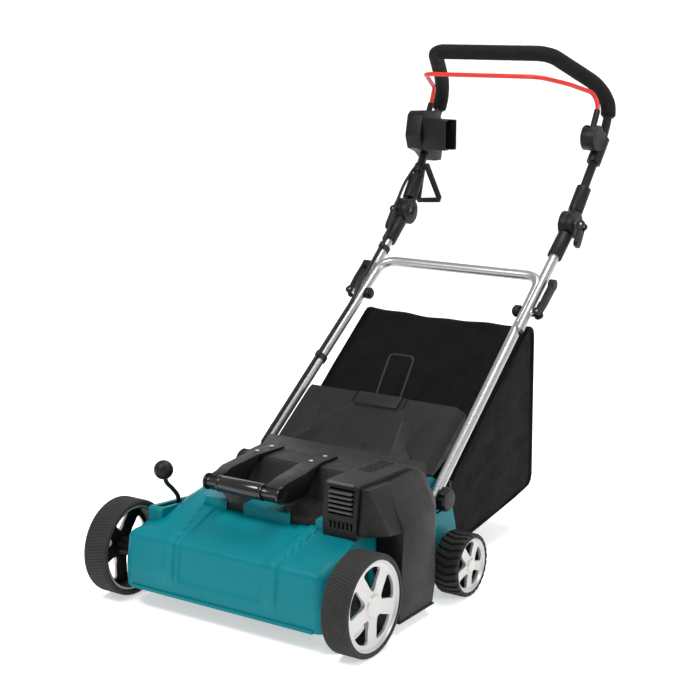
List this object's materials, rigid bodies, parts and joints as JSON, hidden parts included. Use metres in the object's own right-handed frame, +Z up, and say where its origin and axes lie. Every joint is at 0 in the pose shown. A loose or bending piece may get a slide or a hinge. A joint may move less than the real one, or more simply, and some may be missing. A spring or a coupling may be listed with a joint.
{
  "type": "lawn dethatcher",
  "caption": "Electric lawn dethatcher with teal deck, belt-driven knife shaft, four wheels, folding tube handle with red bail and fabric catcher bag.",
  "frame": {"origin": "middle of the machine's bounding box, at ground level under the wheels", "axes": "+Z up, -Y the front of the machine, +Y the handle and bag, +X the belt cover side"},
  "size_m": [0.612, 1.2152, 1.047],
  "materials": {
    "teal_plastic": "satin moulded teal plastic",
    "charcoal_plastic": "fine textured charcoal moulding",
    "black_plastic": "matt black moulding",
    "gloss_black": "semi gloss black moulding",
    "silver_paint": "satin silver powder coat on steel tube",
    "silver_plastic": "silver painted plastic rim",
    "tyre_black": "moulded black tyre",
    "black_paint": "black powder coat on steel",
    "bright_steel": "zinc plated or ground steel",
    "knife_steel": "hardened pressed steel",
    "motor_core": "laminated core and end bells",
    "rotor_core": "laminated rotor on steel shaft",
    "alloy": "die cast alloy",
    "white_plastic": "moulded white plastic",
    "belt_rubber": "ribbed drive belt",
    "foam_black": "closed cell foam",
    "red_coat": "glossy red dipped coating on steel wire",
    "red_plastic": "red moulded button",
    "bag_fabric": "woven polyester",
    "cable_rubber": "round rubber sheathed cable",
    "brass_pin": "plated contact pins",
    "grey_plastic": "dark grey moulding"
  },
  "bodies": {
    "chassis": {"deck_housing": "teal_plastic", "motor_cover": "charcoal_plastic", "belt_cover": "charcoal_plastic", "carry_handle_arms": "black_plastic", "carry_grip": "gloss_black", "cover_screws": "bright_steel", "motor_stator": "motor_core", "motor_capacitor": "alloy", "knife_bearings": "bright_steel", "drive_belt": "belt_rubber", "rear_stub_axles": "bright_steel", "axle_bushes": "black_plastic", "flap_hinge_rod": "bright_steel", "handle_pivot_bolts": "bright_steel"},
    "motor_rotor": {"motor_rotor": "rotor_core", "motor_fan": "white_plastic", "motor_pulley": "alloy"},
    "knife_rotor": {"knife_shaft": "bright_steel", "scarifier_knives": "knife_steel", "knife_spacers": "black_plastic", "shaft_pulley": "alloy"},
    "front_axle": {"front_crank_axle": "bright_steel", "depth_lever": "black_paint", "lever_ball": "black_plastic"},
    "front_left_wheel": {"front_left_tyre": "tyre_black", "front_left_rim": "silver_plastic"},
    "front_right_wheel": {"front_right_tyre": "tyre_black", "front_right_rim": "silver_plastic"},
    "rear_left_wheel": {"rear_left_tyre": "tyre_black", "rear_left_rim": "silver_plastic"},
    "rear_right_wheel": {"rear_right_tyre": "tyre_black", "rear_right_rim": "silver_plastic"},
    "lower_handle": {"lower_handle": "silver_paint", "fold_bolts": "bright_steel", "fold_nuts": "black_plastic", "lower_cable": "cable_rubber"},
    "left_pivot_knob": {"left_pivot_knob": "black_plastic"},
    "right_pivot_knob": {"right_pivot_knob": "black_plastic"},
    "upper_handle": {"upper_tubes": "silver_paint", "lower_knuckles": "black_plastic", "knuckle_bolts": "bright_steel", "middle_cable": "cable_rubber"},
    "left_cam_lever": {"left_cam_lever": "black_plastic"},
    "right_cam_lever": {"right_cam_lever": "black_plastic"},
    "left_knuckle_lever": {"left_knuckle_lever": "black_plastic"},
    "right_knuckle_lever": {"right_knuckle_lever": "black_plastic"},
    "handlebar": {"handlebar_tube": "black_paint", "foam_grip": "foam_black", "upper_knuckles": "black_plastic", "right_pod": "black_plastic", "switch_box": "black_plastic", "inlet_shroud": "black_plastic", "inlet_pins": "brass_pin", "cable_hook": "black_plastic"},
    "bail": {"bail_bar": "red_coat", "bail_boots": "black_plastic"},
    "start_button": {"start_button": "red_plastic"},
    "rear_flap": {"rear_flap": "charcoal_plastic"},
    "bag": {"bag_cloth": "bag_fabric", "bag_frame": "grey_plastic"}
  },
  "joints": [
    {"name": "depth_adjust", "type": "hinge", "parent": "chassis", "child": "front_axle", "pos_m": [0, -0.4645, 0.118], "axis": [1, 0, 0], "range_deg": [-18, 22]},
    {"name": "front_left_wheel_spin", "type": "hinge", "parent": "front_axle", "child": "front_left_wheel", "pos_m": [-0.2775, -0.5145, 0.095], "axis": [1, 0, 0], "continuous": true},
    {"name": "front_right_wheel_spin", "type": "hinge", "parent": "front_axle", "child": "front_right_wheel", "pos_m": [0.2775, -0.5145, 0.095], "axis": [1, 0, 0], "continuous": true},
    {"name": "rear_left_wheel_spin", "type": "hinge", "parent": "chassis", "child": "rear_left_wheel", "pos_m": [-0.2775, -0.1625, 0.063], "axis": [1, 0, 0], "continuous": true},
    {"name": "rear_right_wheel_spin", "type": "hinge", "parent": "chassis", "child": "rear_right_wheel", "pos_m": [0.2775, -0.1625, 0.063], "axis": [1, 0, 0], "continuous": true},
    {"name": "knife_spin", "type": "hinge", "parent": "chassis", "child": "knife_rotor", "pos_m": [0, -0.3495, 0.072], "axis": [1, 0, 0], "continuous": true},
    {"name": "motor_spin", "type": "hinge", "parent": "chassis", "child": "motor_rotor", "pos_m": [0, -0.2795, 0.186], "axis": [1, 0, 0], "continuous": true},
    {"name": "lower_fold", "type": "hinge", "parent": "chassis", "child": "lower_handle", "pos_m": [0, -0.1695, 0.19], "axis": [-1, 0, 0], "range_deg": [-80, 0]},
    {"name": "left_pivot_knob_turn", "type": "hinge", "parent": "chassis", "child": "left_pivot_knob", "pos_m": [-0.245, -0.1695, 0.19], "axis": [1, 0, 0], "continuous": true},
    {"name": "right_pivot_knob_turn", "type": "hinge", "parent": "chassis", "child": "right_pivot_knob", "pos_m": [0.245, -0.1695, 0.19], "axis": [1, 0, 0], "continuous": true},
    {"name": "upper_fold", "type": "hinge", "parent": "lower_handle", "child": "upper_handle", "pos_m": [0, 0.2255, 0.495], "axis": [1, 0, 0], "range_deg": [0, 120]},
    {"name": "left_cam", "type": "hinge", "parent": "lower_handle", "child": "left_cam_lever", "pos_m": [-0.238, 0.2255, 0.495], "axis": [0, -0.6112, 0.7915], "range_deg": [0, 100]},
    {"name": "right_cam", "type": "hinge", "parent": "lower_handle", "child": "right_cam_lever", "pos_m": [0.238, 0.2255, 0.495], "axis": [0, 0.6112, -0.7915], "range_deg": [0, 100]},
    {"name": "handlebar_tilt", "type": "hinge", "parent": "upper_handle", "child": "handlebar", "pos_m": [0, 0.4205, 0.66], "axis": [1, 0, 0], "range_deg": [-20, 20]},
    {"name": "left_knuckle_clamp", "type": "hinge", "parent": "upper_handle", "child": "left_knuckle_lever", "pos_m": [-0.243, 0.4205, 0.66], "axis": [0, 0.829, -0.5592], "range_deg": [0, 90]},
    {"name": "right_knuckle_clamp", "type": "hinge", "parent": "upper_handle", "child": "right_knuckle_lever", "pos_m": [0.243, 0.4205, 0.66], "axis": [0, -0.829, 0.5592], "range_deg": [0, 90]},
    {"name": "bail_pull", "type": "hinge", "parent": "handlebar", "child": "bail", "pos_m": [0, 0.5055, 0.845], "axis": [-1, 0, 0], "range_deg": [0, 12], "stiffness_Nm_per_rad": 2, "springref_deg": -17.19},
    {"name": "start_press", "type": "slide", "parent": "handlebar", "child": "start_button", "axis": [1, 0, 0], "range_m": [0, 0.004], "stiffness_N_per_m": 800, "springref_m": -0.002},
    {"name": "flap_open", "type": "hinge", "parent": "chassis", "child": "rear_flap", "pos_m": [0, -0.1465, 0.226], "axis": [1, 0, 0], "range_deg": [0, 50]},
    {"name": "bag_off", "type": "slide", "parent": "chassis", "child": "bag", "axis": [0, 1, 0], "range_m": [0, 0.45]}
  ],
  "couplings": [
    {"joint": "motor_spin", "follows": "knife_spin", "ratio": 2.2222}
  ]
}
